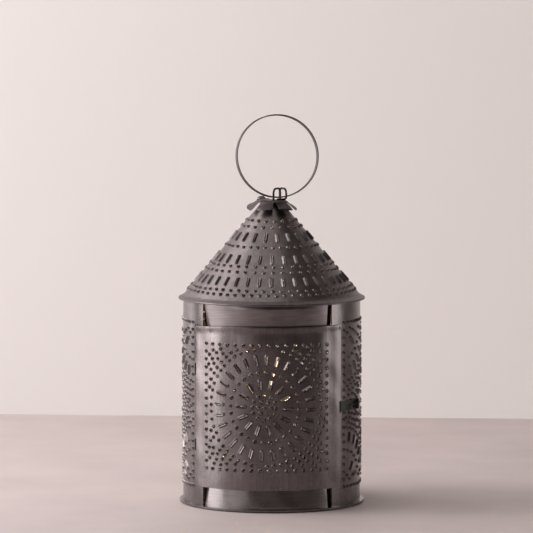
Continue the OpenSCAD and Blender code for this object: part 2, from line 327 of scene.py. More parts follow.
def punched_sheet(name, dots, slits, low, high, mapping, material, body, cuts=(), keep=None, lines=()):
    """A thin sheet with burred round holes and slits.

    dots are (x, y), slits are (x, y, direction), both on the flat sheet in mm. mapping turns flat x, y and a
    height over the sheet into a point in metres. cuts are boxes left out, lines extra rows of points. keep
    says which flat points are on a sheet that isn't a rectangle.
    """
    net = Net()
    spots = punch(net, dots, slits)
    net.add(plain_points(low, high, keep, spots, cuts))
    if keep is None:
        net.add_line(border_points(low, high), True)
    for x0, y0, x1, y1 in cuts:
        net.add_line([(x0, y0), (x1, y0), (x1, y1), (x0, y1)], True)
    for line in lines:
        net.add_line(line, False)

    points = [Vector(p) for p in net.points]
    flat, _, tris, origins, _, _ = delaunay_2d_cdt(points, net.edges, [], 0, SAME_POINT, True)
    flat = np.array([tuple(v) for v in flat])
    height = np.array([max((net.heights[i] for i in ids), default=0.0) for ids in origins])
    hole = np.array([max((net.holes[i] for i in ids), default=NO_HOLE) for ids in origins])
    tris = np.array([t for t in tris if len(t) == 3])
    a, b, c = hole[tris].T
    gone = (a != NO_HOLE) & (a == b) & (b == c)
    middle = flat[tris].mean(1)
    for box in cuts:
        gone |= in_box(middle, box)
    if keep is not None:
        gone |= ~np.array([keep(x, y) for x, y in middle])

    # only points that a triangle uses are kept
    used, tris = np.unique(tris[~gone], return_inverse=True)
    tris = tris.reshape(-1, 3)
    places = list(zip(flat[used], height[used]))
    outer = [mapping(x, y, h) for (x, y), h in places]
    inner = [mapping(x, y, h * BURR_INSIDE - SHEET) for (x, y), h in places]
    n = len(used)
    faces = [tuple(t) for t in tris] + [tuple(t[::-1] + n) for t in tris]
    # an edge with a triangle on one side only gets a wall
    directed = dict.fromkeys((int(t[i]), int(t[(i + 1) % 3])) for t in tris for i in range(3))
    faces += [(j, i, i + n, j + n) for i, j in directed if (j, i) not in directed]
    sheet = new_object(name, outer + inner, faces, material, body)
    # the sheet's inner side is painted near-black, as painted shade of the lantern's inside
    line_faces(sheet, len(tris), 2 * len(tris), TIN_PAINTED_SHADE)
    return sheet


# ---------------------------------------------------------------- punch patterns, in mm on the flat sheet

SUN_DOTS = ((6.25, 6), (11.9, 12))
SUN_SLITS = ((23.0, 14), (46.6, 28))
SUN_RING = (34.2, 28)
SUN_DOT_SHAKE = 0.3
SLIT_MARGIN = 4.5
SUN_EDGE = 57.4
SUN_EDGE_SLACK = 0.8
ARC_LEVELS = 20
ARC_STEP = 5.0
ARC_PITCH = 7.2
ARC_SHAKE = 0.5
ARC_TURN = 0.1


def apart(p, q):
    return math.hypot(p[0] - q[0], p[1] - q[1])


def sunburst(cx, cy, inside, scale, turn):
    """The centre cluster, two rings of slits and the ring of dots of one sunburst."""
    wanted = [(0.0, 0.0)]
    for r, count in (*SUN_DOTS, SUN_RING):
        wanted += [spoke(r, turn + 360 * k / count) for k in range(count)]
    dots = []
    for x, y in wanted:
        dx, dy = rng.uniform(-SUN_DOT_SHAKE, SUN_DOT_SHAKE), rng.uniform(-SUN_DOT_SHAKE, SUN_DOT_SHAKE)
        p = (cx + x * scale + dx, cy + y * scale + dy)
        if inside(*p):
            dots.append(p)
    slits = []
    for r, count in SUN_SLITS:
        for k in range(count):
            direction = turn + 360 * k / count
            dx, dy = spoke(r * scale, direction)
            if inside(cx + dx, cy + dy, SLIT_MARGIN):
                slits.append((cx + dx, cy + dy, direction))
    return dots, slits


def fill_arcs(dots, slits, centres, inside, gap):
    """Rows of dots in arcs round each sunburst, wherever there is room left."""
    taken = list(dots)
    for x, y, direction in slits:
        for along in (-4, 0, 4):
            dx, dy = spoke(along, direction)
            taken.append((x + dx, y + dy))
    added = []
    for level in range(ARC_LEVELS):
        r = SUN_EDGE + level * ARC_STEP
        count = int(2 * math.pi * r / ARC_PITCH)
        for cx, cy in centres:
            for k in range(count):
                a = 2 * math.pi * (k + 0.5 * (level % 2)) / count + ARC_TURN
                p = (cx + r * math.cos(a) + rng.uniform(-ARC_SHAKE, ARC_SHAKE),
                     cy + r * math.sin(a) + rng.uniform(-ARC_SHAKE, ARC_SHAKE))
                if not inside(*p) or any(apart(p, c) < SUN_EDGE - SUN_EDGE_SLACK for c in centres):
                    continue
                if all(apart(p, q) > gap for q in taken):
                    taken.append(p)
                    added.append(p)
    return added


def frame_dots(x0, y0, x1, y1, pitch_x, pitch_y):
    """Dots along the four sides of a field."""
    out = []
    nx, ny = round((x1 - x0) / pitch_x), round((y1 - y0) / pitch_y)
    for k in range(nx + 1):
        for y in (y0, y1):
            out.append((x0 + (x1 - x0) * k / nx + rng.uniform(-0.3, 0.3), y + rng.uniform(-0.25, 0.25)))
    for k in range(1, ny):
        for x in (x0, x1):
            out.append((x + rng.uniform(-0.25, 0.25), y0 + (y1 - y0) * k / ny + rng.uniform(-0.3, 0.3)))
    return out


def inner_box(x0, y0, x1, y1, margin):
    """A test for points that lie in a box by at least a margin."""

    def inside(x, y, more=0.0):
        m = margin + more
        return x0 + m < x < x1 - m and y0 + m < y < y1 - m

    return inside


# ---------------------------------------------------------------- material nodes


def node_material(name):
    """A new material with one Principled shader."""
    mat = bpy.data.materials.new(name)
    mat.use_nodes = True
    nt = mat.node_tree
    nt.nodes.clear()
    out = nt.nodes.new("ShaderNodeOutputMaterial")
    bsdf = nt.nodes.new("ShaderNodeBsdfPrincipled")
    nt.links.new(bsdf.outputs[0], out.inputs[0])
    return mat, nt, bsdf


def object_coords(nt):
    return nt.nodes.new("ShaderNodeTexCoord").outputs["Object"]


def noise(nt, coords, scale, detail, stretch=None):
    """Cloudy noise, stretched along an axis that has a smaller scale than the others."""
    if stretch:
        m = nt.nodes.new("ShaderNodeMapping")
        m.inputs["Scale"].default_value = stretch
        nt.links.new(coords, m.inputs["Vector"])
        coords = m.outputs[0]
    n = nt.nodes.new("ShaderNodeTexNoise")
    n.inputs["Scale"].default_value = scale
    n.inputs["Detail"].default_value = detail
    n.inputs["Roughness"].default_value = 0.55
    nt.links.new(coords, n.inputs["Vector"])
    return n.outputs[0]


def ramp(nt, value, low, high, a, b):
    """Turns values from low to high into a to b."""
    r = nt.nodes.new("ShaderNodeMapRange")
    r.inputs["From Min"].default_value = low
    r.inputs["From Max"].default_value = high
    r.inputs["To Min"].default_value = a
    r.inputs["To Max"].default_value = b
    nt.links.new(value, r.inputs["Value"])
    return r.outputs[0]


def mottle(nt, value, a, b):
    """Spreads the middle of a noise over a to b."""
    return ramp(nt, value, 0.3, 0.7, a, b)


def mix(nt, factor, a, b):
    """A colour between a and b, each a plain colour or a socket."""
    m = nt.nodes.new("ShaderNodeMix")
    m.data_type = "RGBA"
    nt.links.new(factor, m.inputs["Factor"])
    for value, socket in ((a, m.inputs["A"]), (b, m.inputs["B"])):
        if isinstance(value, tuple):
            socket.default_value = (*value, 1)
        else:
            nt.links.new(value, socket)
    return m.outputs["Result"]


def joined(nt, operation, a, b):
    """Two values added or multiplied."""
    m = nt.nodes.new("ShaderNodeMath")
    m.operation = operation
    nt.links.new(a, m.inputs[0])
    nt.links.new(b, m.inputs[1])
    return m.outputs[0]


def bump(nt, bsdf, value, strength, distance):
    b = nt.nodes.new("ShaderNodeBump")
    b.inputs["Strength"].default_value = strength
    b.inputs["Distance"].default_value = distance
    nt.links.new(value, b.inputs["Height"])
    nt.links.new(b.outputs[0], bsdf.inputs["Normal"])


# ---------------------------------------------------------------- materials

UPRIGHT = (900, 900, 14)
SIDEWAYS = (60, 60, 1200)
BLURRED = (260, 260, 60)
ACROSS = (70, 70, 1500)


def tin_material(name, dark, light, rough, metal=0.92, streak=UPRIGHT):
    """Blackened tinplate: brushed streaks, cloudy tone and fine grain."""
    mat, nt, bsdf = node_material(name)
    co = object_coords(nt)
    cloud = noise(nt, co, 28, 5)
    brush = noise(nt, co, 1.0, 3, streak)
    cross = noise(nt, co, 1.0, 3, ACROSS)
    fine = noise(nt, co, 1600, 2)
    tone = joined(nt, "ADD", mottle(nt, brush, -0.28, 0.28), mottle(nt, cloud, 0.2, 0.8))
    nt.links.new(mix(nt, tone, dark, light), bsdf.inputs["Base Color"])
    bsdf.inputs["Metallic"].default_value = metal
    worn = mottle(nt, cloud, rough - 0.05, rough + 0.05)
    grain = ramp(nt, fine, 0.35, 0.65, -0.03, 0.03)
    nt.links.new(joined(nt, "ADD", worn, grain), bsdf.inputs["Roughness"])
    lines = joined(nt, "ADD", brush, ramp(nt, cross, 0.0, 1.0, 0.0, 0.6))
    bump(nt, bsdf, lines, 0.12, 0.0002)
    return mat


TIN = tin_material("tin", (0.112, 0.098, 0.096), (0.208, 0.186, 0.184), 0.26)
TIN_ROOF = tin_material("tin_roof", (0.105, 0.090, 0.088), (0.190, 0.168, 0.166), 0.42, streak=BLURRED)
TIN_DOOR = tin_material("tin_door", (0.112, 0.098, 0.096), (0.208, 0.186, 0.184), 0.25)
TIN_HEADER = tin_material("tin_header", (0.155, 0.138, 0.137), (0.285, 0.258, 0.257), 0.35, streak=SIDEWAYS)
TIN_SILL = tin_material("tin_sill", (0.110, 0.096, 0.094), (0.205, 0.184, 0.182), 0.29, streak=SIDEWAYS)
TIN_RING = tin_material("tin_ring", (0.075, 0.066, 0.064), (0.150, 0.134, 0.130), 0.40)
TIN_CAP = tin_material("tin_cap", (0.040, 0.033, 0.032), (0.120, 0.100, 0.097), 0.38)
# near-black copy of the tin for the hinge straps and hasp: painted shade where they sit in the door's
# notches
TIN_SHADED_STRAPS = tin_material("tin_shaded_straps", (0.028, 0.029, 0.027), (0.068, 0.070, 0.064), 0.42, metal=0.85)
# near-black copy of the tin for sheets' inner sides and hidden margins: painted shade for the lantern's
# inside and the gaps into it
TIN_PAINTED_SHADE = tin_material("tin_painted_shade", (0.008, 0.007, 0.007), (0.022, 0.019, 0.018), 0.6, metal=0.3)
TIN_INSIDE = tin_material("tin_inside", (0.060, 0.052, 0.048), (0.120, 0.105, 0.098), 0.45)


def wire_material():
    """Black annealed wire."""
    mat, nt, bsdf = node_material("black_wire")
    n = noise(nt, object_coords(nt), 700, 4)
    nt.links.new(mix(nt, mottle(nt, n, 0, 1), (0.012, 0.012, 0.013), (0.035, 0.034, 0.034)),
                 bsdf.inputs["Base Color"])
    bsdf.inputs["Metallic"].default_value = 0.7
    nt.links.new(mottle(nt, n, 0.32, 0.5), bsdf.inputs["Roughness"])
    bump(nt, bsdf, n, 0.15, 0.0001)
    return mat


def wax_material():
    """Cream candle wax that light sinks into."""
    mat, nt, bsdf = node_material("wax")
    n = noise(nt, object_coords(nt), 60, 5)
    nt.links.new(mix(nt, mottle(nt, n, 0, 1), (0.83, 0.73, 0.53), (0.93, 0.86, 0.70)),
                 bsdf.inputs["Base Color"])
    nt.links.new(mottle(nt, n, 0.35, 0.5), bsdf.inputs["Roughness"])
    bsdf.inputs["Subsurface Weight"].default_value = 0.35
    bsdf.inputs["Subsurface Radius"].default_value = (0.006, 0.004, 0.002)
    bsdf.inputs["Subsurface Scale"].default_value = 1.0
    bump(nt, bsdf, n, 0.2, 0.0006)
    return mat


def cotton_material():
    """A cotton wick, charred at its tip."""
    mat, nt, bsdf = node_material("wick_cotton")
    co = object_coords(nt)
    n = noise(nt, co, 900, 5)
    height = nt.nodes.new("ShaderNodeSeparateXYZ")
    nt.links.new(co, height.inputs[0])
    char = ramp(nt, height.outputs["Z"], 0.107, 0.111, 0, 1)
    pale = mix(nt, mottle(nt, n, 0, 1), (0.50, 0.44, 0.34), (0.70, 0.64, 0.52))
    nt.links.new(mix(nt, char, pale, (0.012, 0.010, 0.009)), bsdf.inputs["Base Color"])
    bsdf.inputs["Roughness"].default_value = 0.9
    bump(nt, bsdf, n, 0.5, 0.0003)
    return mat


WIRE = wire_material()
WAX = wax_material()
COTTON = cotton_material()

# ---------------------------------------------------------------- door

DOOR_MM = DOOR_R * math.pi / 180
EDGE_X = DOOR_HALF * DOOR_MM
FIELD_LOW, FIELD_HIGH = (-64.6, 40.8), (63.6, 162.3)
DOOR_PITCH = (8.6, 7.6)
FIELD_MARGIN = 1.4
DOT_GAP = 4.45
SUN_AT = (-1.0, 102.0)
# the corner over the hinge sags by this much
CORNER_DROP = 1.6
SAG_X, SAG_X_RUN = 30, 45
SAG_Z, SAG_Z_RUN = 160, 18
# the top edge is folded over
HEM_H = 4.2
HEM_RISE = 0.28
HEM_RUN = 0.6
# the edge rolled round its wire, and how the margin rises over it
ROLL_MID, ROLL_HALF = 0.755, 0.17
EDGE_LIFT = WIRE_AT + ROLL_MID + ROLL_HALF - DOOR_R
LIFT_RUN = 15.0


def door_point(x, y, h):
    lift = EDGE_LIFT * rise(abs(x), EDGE_X - LIFT_RUN, LIFT_RUN)
    sag = CORNER_DROP * rise(-x, SAG_X, SAG_X_RUN) * rise(y, SAG_Z, SAG_Z_RUN)
    fold = HEM_RISE * rise(y, DOOR_Z1 - HEM_H, HEM_RUN)
    return polar(x / DOOR_MM, DOOR_R + h + lift + fold + wobble(x, y, 0.12), y - sag)


def door_notches():
    """Gaps in the door's edges where a strap turns on the wire."""
    half = NOTCH_H / 2
    hinge = [(-EDGE_X, z - half, -EDGE_X + NOTCH_DEEP, z + half) for z in HINGE_Z]
    return hinge + [(EDGE_X - NOTCH_DEEP, LATCH_Z - half, EDGE_X, LATCH_Z + half)]


def door_skin():
    border = frame_dots(*FIELD_LOW, *FIELD_HIGH, *DOOR_PITCH)
    room = inner_box(*FIELD_LOW, *FIELD_HIGH, FIELD_MARGIN)
    sun_dots, slits = sunburst(*SUN_AT, room, scale=1.0, turn=-3.0)
    dots = border + sun_dots
    dots += fill_arcs(dots, slits, [SUN_AT], room, DOT_GAP)
    hem_half = EDGE_X - 1.2
    hem_line = [(-hem_half + 2 * hem_half * k / 60, DOOR_Z1 - HEM_H + 0.3) for k in range(61)]
    skin = punched_sheet("door_sheet", dots, slits, (-EDGE_X, DOOR_Z0), (EDGE_X, DOOR_Z1), door_point,
                         TIN_DOOR, "door", cuts=door_notches(), lines=[hem_line])
    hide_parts("door_panel")


def rolled_edge(name, side, gaps):
    """The door's edge rolled round its wire, left out where a strap turns on the wire."""
    runs, z = [], DOOR_Z0
    for gap in gaps:
        runs.append((z, gap - NOTCH_H / 2))
        z = gap + NOTCH_H / 2
    runs.append((z, DOOR_Z1))
    # round the wire from the top of the margin, outwards and under, to the back of the sheet
    curl = [math.radians(90 - 285 * k / 22) for k in range(23)]
    # the ends of each run are a little thinner, as a rounded edge
    end, thinner = 0.25, 0.12
    m = 2 * len(curl)
    verts, faces = [], []
    for z0, z1 in runs:
        first = len(verts)
        for zz, thin in ((z0, thinner), (z0 + end, 0), (z1 - end, 0), (z1, thinner)):
            sag = CORNER_DROP * rise(zz, SAG_Z, SAG_Z_RUN) if side < 0 else 0.0
            for sign in (1, -1):
                r = ROLL_MID + sign * (ROLL_HALF - thin)
                for t in curl[::sign]:
                    turn = side * (DOOR_HALF + math.degrees(r * math.cos(t) / WIRE_AT))
                    verts.append(polar(turn, WIRE_AT + r * math.sin(t), zz - sag))
        rows = (len(verts) - first) // m
        shell = [tuple(first + i for i in range(m))]
        for n in range(rows - 1):
            for i in range(m):
                a, b = first + n * m + i, first + n * m + (i + 1) % m
                shell.append((b, a, a + m, b + m))
        shell.append(tuple(first + (rows - 1) * m + i for i in range(m))[::-1])
        faces += shell if side > 0 else [f[::-1] for f in shell]
    roll = new_object(name, verts, faces, TIN_DOOR, "door", 50)
    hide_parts("door_panel")


door_skin()
rolled_edge("door_roll_hinge", -1, HINGE_Z)
rolled_edge("door_roll_latch", 1, (LATCH_Z,))

# ---------------------------------------------------------------- body

BODY_MM = BODY_R * math.pi / 180
# each side's field of punches, in degrees from the door's middle and in height
SIDE_START, SIDE_END = 57.4, 175.6
SIDE_Z0, SIDE_Z1 = 20.8, 181.5
SIDE_PITCH = (6.9, 7.3)
SIDE_MARGIN = 2.6
SIDE_GAP = 4.6
SUNS_APART = 4.5
# the lap at the back, half width and step in degrees
LAP_HALF, LAP_STEP = 1.9, 0.35
LAP_RISE = 0.6
LAP_LOW, LAP_HIGH = 4, 196
# slots for the hinge straps
SLOT_HALF_W, SLOT_HALF_H = 0.4, 5.3


def body_point(x, y, h):
    a = x / BODY_MM
    lap = 0.0
    if LAP_LOW < y < LAP_HIGH:
        lap = LAP_RISE * max(0.0, min(1.0, (LAP_HALF - abs(a - 180)) / LAP_STEP))
    return polar(a, BODY_R + h + lap + wobble(x, y, 0.12), y)


def side_pattern(a0, a1):
    """A sunburst in the middle of a side panel, quarter ones in its corners, and dots between them."""
    x0, x1 = a0 * BODY_MM, a1 * BODY_MM
    dots = frame_dots(x0, SIDE_Z0, x1, SIDE_Z1, *SIDE_PITCH)
    room = inner_box(x0, SIDE_Z0, x1, SIDE_Z1, SIDE_MARGIN)
    centres = [(x, z) for x in (x0, x1) for z in (SIDE_Z0, SIDE_Z1)]
    centres.append(((x0 + x1) / 2, (SIDE_Z0 + SIDE_Z1) / 2))
    slits = []
    for centre in centres:
        sun_dots, sun_slits = sunburst(*centre, room, scale=1.04, turn=1.5)
        dots += [p for p in sun_dots if all(apart(p, q) > SUNS_APART for q in dots)]
        slits += sun_slits
    return dots + fill_arcs(dots, slits, centres, room, SIDE_GAP), slits


def body_skin():
    dots, slits = [], []
    for a0, a1 in ((SIDE_START, SIDE_END), (360 - SIDE_END, 360 - SIDE_START)):
        side_dots, side_slits = side_pattern(a0, a1)
        dots += side_dots
        slits += side_slits
    slot_x = (360 - DOOR_HALF) * BODY_MM
    slots = [(slot_x - SLOT_HALF_W, z - SLOT_HALF_H, slot_x + SLOT_HALF_W, z + SLOT_HALF_H) for z in HINGE_Z]
    low, run = SEAM_LOW + 0.1, SEAM_HIGH - SEAM_LOW - 0.2
    lap_lines = []
    for off in (-LAP_HALF, LAP_STEP - LAP_HALF, LAP_HALF - LAP_STEP, LAP_HALF):
        lap_lines.append([((180 + off) * BODY_MM, low + run * k / 60) for k in range(61)])
    skin = punched_sheet("body_sheet", dots, slits, (OPENING * BODY_MM, SEAM_LOW),
                         ((360 - OPENING) * BODY_MM, SEAM_HIGH), body_point, TIN, "shell",
                         cuts=slots, lines=lap_lines)
    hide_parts("body_wall")


body_skin()

# ---------------------------------------------------------------- roof

# radius and count of each ring of punches
ROOF_DOTS = ((24.5, 19), (29.3, 21), (45.0, 37), (60.1, 41), (64.5, 44), (78.7, 58), (82.1, 62))
ROOF_SLITS = ((37.4, 21), (54.8, 29), (72.0, 39))
# the cone unrolled: a fan of this many degrees, between two distances from its centre
FAN = 360 * SIN_HALF
RHO_TOP, RHO_RIM = ROOF_TOP[0] / SIN_HALF, RIM[0][0] / SIN_HALF
RIM_RUNS = [0.0]
for upper, lower in zip(RIM, RIM[1:]):
    RIM_RUNS.append(RIM_RUNS[-1] + apart(upper, lower))
RHO_END = RHO_RIM + RIM_RUNS[-1]
# the fold under the rim
HEM_UNDER_R = 87.35
HEM_Z = roof_low[2]
COS_HALF = math.cos(math.asin(SIN_HALF))


def fan_angle(x, y):
    return math.degrees(math.atan2(y, x)) % 360


def roof_point(x, y, h):
    rho = math.hypot(x, y)
    a = fan_angle(x, y) / SIN_HALF
    if rho <= RHO_RIM:
        r, z = rho * SIN_HALF, CONE_APEX_Z - rho * SIN_HALF / CONE_SLOPE
    else:
        run = rho - RHO_RIM
        k = 0 if run < RIM_RUNS[1] else 1
        f = min(1.0, (run - RIM_RUNS[k]) / (RIM_RUNS[k + 1] - RIM_RUNS[k]))
        r = RIM[k][0] + f * (RIM[k + 1][0] - RIM[k][0])
        z = RIM[k][1] + f * (RIM[k + 1][1] - RIM[k][1])
    h += wobble(a * 1.2, rho, 0.12) * min(1.0, max(0.0, (RHO_RIM - rho) / 8))
    return polar(a, r + h * COS_HALF, z + h * SIN_HALF)


def roof_keep(x, y):
    return RHO_TOP - 0.01 < math.hypot(x, y) < RHO_END + 0.01 and 0 <= fan_angle(x, y) <= FAN


def on_fan(r, angle):
    return spoke(r / SIN_HALF, angle * SIN_HALF)


def fan_arc(rho, steps):
    return [spoke(rho, FAN * k / steps) for k in range(steps + 1)]


def roof_skin():
    dots, slits = [], []
    for r, count in ROOF_DOTS:
        turn = rng.uniform(0, 1)
        for k in range(count):
            a = 360 * (k + 0.25 + 0.5 * turn) / count + rng.uniform(-0.3, 0.3) * 60 / r
            dots.append(on_fan(r + rng.uniform(-0.2, 0.2), a % 360))
    for r, count in ROOF_SLITS:
        turn = rng.uniform(0, 1)
        for k in range(count):
            x, y = on_fan(r, 360 * (k + 0.25 + 0.5 * turn) / count % 360)
            slits.append((x, y, math.degrees(math.atan2(y, x))))
    sides = [[spoke(rho, a) for rho in np.linspace(RHO_TOP, RHO_END, 42)] for a in (0.0, FAN)]
    bends = [fan_arc(RHO_RIM, 180), fan_arc(RHO_RIM + RIM_RUNS[1], 180)]
    skin = punched_sheet("roof_sheet", dots, slits, (-RHO_END, -RHO_END), (RHO_END, RHO_END), roof_point,
                         TIN_ROOF, "shell", keep=roof_keep,
                         lines=[fan_arc(RHO_END, 180), fan_arc(RHO_TOP, 40)] + sides + bends)
    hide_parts("roof_cone")


def roof_hem():
    """The rim's edge, turned down and folded back under itself."""
    r, z = RIM[-1]
    outside = [(r - 0.5, z - 0.05), (r - 0.1, z - 0.2), (r, z - 0.5)]
    outside += [(r, HEM_Z + 0.4), (r - 0.2, HEM_Z + 0.1)]
    under = [(r - 0.5, HEM_Z), (HEM_UNDER_R, HEM_Z), (HEM_UNDER_R, HEM_Z + SHEET)]
    inside = [(r - 0.7, HEM_Z + SHEET), (r - 0.5, HEM_Z + 0.7), (r - 0.5, z - 0.7), (r - 0.7, z - 0.5)]
    hem = lathe("roof_hem", outside + under + inside, TIN_ROOF, "shell", 192)
    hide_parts("roof_cone")


roof_skin()
roof_hem()

# ---------------------------------------------------------------- strips above and below the door

STRIP_IN = 2.6
HEADER_LOW = round(box_mm("header_strip")[0][2], 1)
SILL_HIGH = round(box_mm("sill_strip")[1][2], 1)
# the strip's edges that show, and the hidden margins stepped in behind the body sheet, in degrees
LEFT_EDGE, RIGHT_EDGE = -44.3, 42.6
MARGIN_GAP = 0.5
TUCK = 47.6
TUCK_IN = 3.2


def strip_shows(angle, slack=0.0):
    return LEFT_EDGE - slack < angle < RIGHT_EDGE + slack


def strip_point(door_end, rim_end, left_fold, top_dent):
    """Where a strip's sheet lies: it slopes in towards the door, and its left margin is bent in."""

    def point(angle, z, inner):
        t = (z - rim_end) / (door_end - rim_end)
        r = BODY_R - STRIP_IN * t - (SHEET if inner else 0)
        if not strip_shows(angle, 0.1):
            return polar(angle, r - TUCK_IN, z)
        fold = left_fold[0] + (left_fold[1] - left_fold[0]) * t
        if angle < fold:
            r -= (0.3 + 1.3 * t) * (fold - angle) / (fold - LEFT_EDGE)
        r -= top_dent * smooth(1 - abs(angle - 4) / 40) * smooth(1 - t * 7)
        return polar(angle, r + wobble(angle * 1.5, z, 0.15), z)

    return point


def strip(node, low, high, door_end, rim_end, left_fold, top_dent, tin):
    columns = [LEFT_EDGE + (RIGHT_EDGE - LEFT_EDGE) * k / 130 for k in range(131)]
    columns = [-TUCK, LEFT_EDGE - MARGIN_GAP] + columns + [RIGHT_EDGE + MARGIN_GAP, TUCK]
    rows = [low + (high - low) * k / 24 for k in range(25)]
    sheet = grid_sheet(node + "_sheet", strip_point(door_end, rim_end, left_fold, top_dent), columns, rows,
                       tin, "shell", TIN_PAINTED_SHADE)
    # the margins tucked behind the body sheet take the near-black inner material: painted shade in the gaps
    # beside the door opening
    for p in sheet.data.polygons:
        corners = [sheet.data.vertices[i].co for i in p.vertices]
        angle = sum(math.degrees(math.atan2(co.x, -co.y)) for co in corners) / len(corners)
        if not strip_shows(angle):
            p.material_index = 1
    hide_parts(node)


strip("header_strip", HEADER_LOW, SEAM_HIGH, door_end=HEADER_LOW, rim_end=SEAM_HIGH,
      left_fold=(-42.6, -39.4), top_dent=1.5, tin=TIN_HEADER)
strip("sill_strip", SEAM_LOW + 0.2, SILL_HIGH, door_end=SILL_HIGH, rim_end=SEAM_LOW + 0.2,
      left_fold=(-42.6, -41.0), top_dent=0.3, tin=TIN_SILL)

# ---------------------------------------------------------------- petal cap

CAP_Z = box_mm("petal_cap")[1][2]
CAP_BEND_R = 13.3
CAP_NOTCH_R = 15.6
PETAL_TIP_R = 23.6
PETAL_TURN = 15.0
PETAL_STEP = 60.0
PETAL_HALF = 18.0
PETAL_DROP = 7.9
# how blunt a petal's end is, and how its sides fall away to the notches
TIP_ROUND = 0.8
TIP_RAGGED = 0.25
SIDE_RUN = 3.2
TURN_RUN = 26
# for each petal: tip radius, drop, twist, turn and half width, as small differences from a plain one
PETALS = [(rng.uniform(-0.9, 0.0), rng.uniform(-1.2, 0.9), rng.uniform(-1.4, 1.4), rng.uniform(-3, 3),
           rng.uniform(-1.6, 1.2)) for _ in range(6)]
# the petal behind the eye is turned up, and the ones that show from the front are bent by hand
PETALS[0] = (1.2, -0.6, -2.0, -1, 2.0)
PETALS[2] = (-2.6, -11.6, 0.5, -13, -2.5)
PETALS[3] = (1.0, -1.0, 2.2, 1, 2.0)
PETALS[4] = (0.2, 0.3, -0.6, -7, 4.0)
PETALS[5] = (0.4, 0.2, 0.6, -9, 5.0)


def cap_point(angle, part, inner):
    """A place on the cap, at an angle from +X and a part of the way out to its edge."""
    round_petals = (angle - PETAL_TURN + PETAL_STEP / 2) % 360
    k = int(round_petals // PETAL_STEP)
    longer, lower, twist, turn, wider = PETALS[k]
    off = round_petals % PETAL_STEP - PETAL_STEP / 2
    off -= turn * smooth(1 - abs(off) / TURN_RUN)
    half = PETAL_HALF + wider
    tip = PETAL_TIP_R + longer - TIP_ROUND * (off / half) ** 2 + TIP_RAGGED * math.sin(off * 0.9 + k)
    edge = CAP_NOTCH_R + max(0.0, tip - CAP_NOTCH_R) * (1 - rise(abs(off), half, SIDE_RUN))
    r = edge * part
    z = CAP_Z + 0.25 * math.sin(angle * 0.09 + r * 0.8) * smooth(r / 8)
    if r > CAP_BEND_R:
        run = r - CAP_BEND_R
        out = run / (PETAL_TIP_R - CAP_BEND_R)
        z -= (PETAL_DROP + lower) * out * smooth(run / 2.6) + twist * (off / half) * out**1.5
    x, y = spoke(r, angle)
    return (x * MM, y * MM, (z - (SHEET if inner else 0)) * MM)


cap_parts = [0.04, 0.25, 0.45, 0.56, 0.62, 0.67, 0.72, 0.77, 0.82, 0.88, 0.94, 1.0]
cap = grid_sheet("petal_cap_sheet", cap_point, [k * 1.5 for k in range(241)], cap_parts,
                 TIN_CAP, "shell", TIN_PAINTED_SHADE, 55)
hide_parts("petal_cap")

# ---------------------------------------------------------------- candle with run wax

candle_low, candle_high = box_mm("candle")
CANDLE_R, CANDLE_LOW, CANDLE_TOP = candle_high[0], candle_low[2] + 0.1, candle_high[2]
CANDLE_STEPS = 90
SHOULDER_Z = CANDLE_TOP - 1.4
WICK_R = 0.85
# angle, lowest point, half width in degrees and thickness of each run of wax
DRIPS = ((-25, 52, 9, 1.3), (38, 71, 7, 1.1), (110, 38, 10, 1.5),
         (170, 80, 8, 1.0), (235, 60, 11, 1.4), (300, 88, 7, 1.0))
# the melted top, from the shoulder in to the pool: distance in from the side, and height
MELT = ((0.6, 105.4), (1.6, 106.0), (3.0, 105.5), (5.5, 104.0), (8.2, 103.2), (10.0, 102.9))


def candle_r(angle, z):
    r = CANDLE_R - 0.35 * smooth((3 - z) / 2)
    for at, low, half, thick in DRIPS:
        off = abs((angle - at + 180) % 360 - 180) / half
        if off < 1.6 and z > low - 4:
            bulb = 1 + 0.7 * math.exp(-(((z - low) / 3.2) ** 2))
            r += thick * 0.5 * math.exp(-2.2 * off * off) * smooth((z - low + 3) / 4) * bulb
    return r


def tube_faces(rows, steps):
    """Quads between rings of points, one ring after another."""
    faces = []
    for j in range(rows - 1):
        for k in range(steps):
            a, b = j * steps + k, j * steps + (k + 1) % steps
            faces.append((a, b, b + steps, a + steps))
    return faces


def candle_wax():
    angles = [360 * k / CANDLE_STEPS for k in range(CANDLE_STEPS)]
    heights = [CANDLE_LOW + (SHOULDER_Z - CANDLE_LOW) * k / 90 for k in range(91)]
    verts = [polar(a, candle_r(a, z), z) for z in heights for a in angles]
    for inwards, z in MELT:
        for a in angles:
            lip = 0.7 * math.sin(math.radians(a * 2 + 40)) * (1 - inwards / 11)
            verts.append(polar(a, max(WICK_R, candle_r(a, SHOULDER_Z) - inwards), z + lip))
    faces = tube_faces(len(heights) + len(MELT), CANDLE_STEPS)
    faces.append(tuple(range(CANDLE_STEPS))[::-1])
    faces.append(tuple(range(len(verts) - CANDLE_STEPS, len(verts))))
    wax = new_object("candle_wax", verts, faces, WAX, "candle", 60)
    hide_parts("candle")


candle_wax()

# ---------------------------------------------------------------- pieces that keep their CAD shape

PLAIN_NODES = (
    (TIN, ("base_plate",)),
    (TIN_RING, ("ring_strap",)),
    # the straps and hasp take the darkened tin as painted shade
    (TIN_SHADED_STRAPS, ("hinge_loop_upper", "hinge_loop_lower", "hasp")),
    (TIN_INSIDE, ("drip_pan", "candle_socket")),
    (WIRE, ("hanger_eye", "hinge_wire", "hasp_wire", "staple", "latch_pin")),
    (COTTON, ("wick",)),
)
for material, nodes in PLAIN_NODES:
    for node in nodes:
        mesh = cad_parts[node].data
        mesh.materials.clear()
        mesh.materials.append(material)

# ---------------------------------------------------------------- stage, in metres

FLOOR_HALF = 4
BACK = 0.68
WALL_LEFT = -0.9
WALL_H = 3


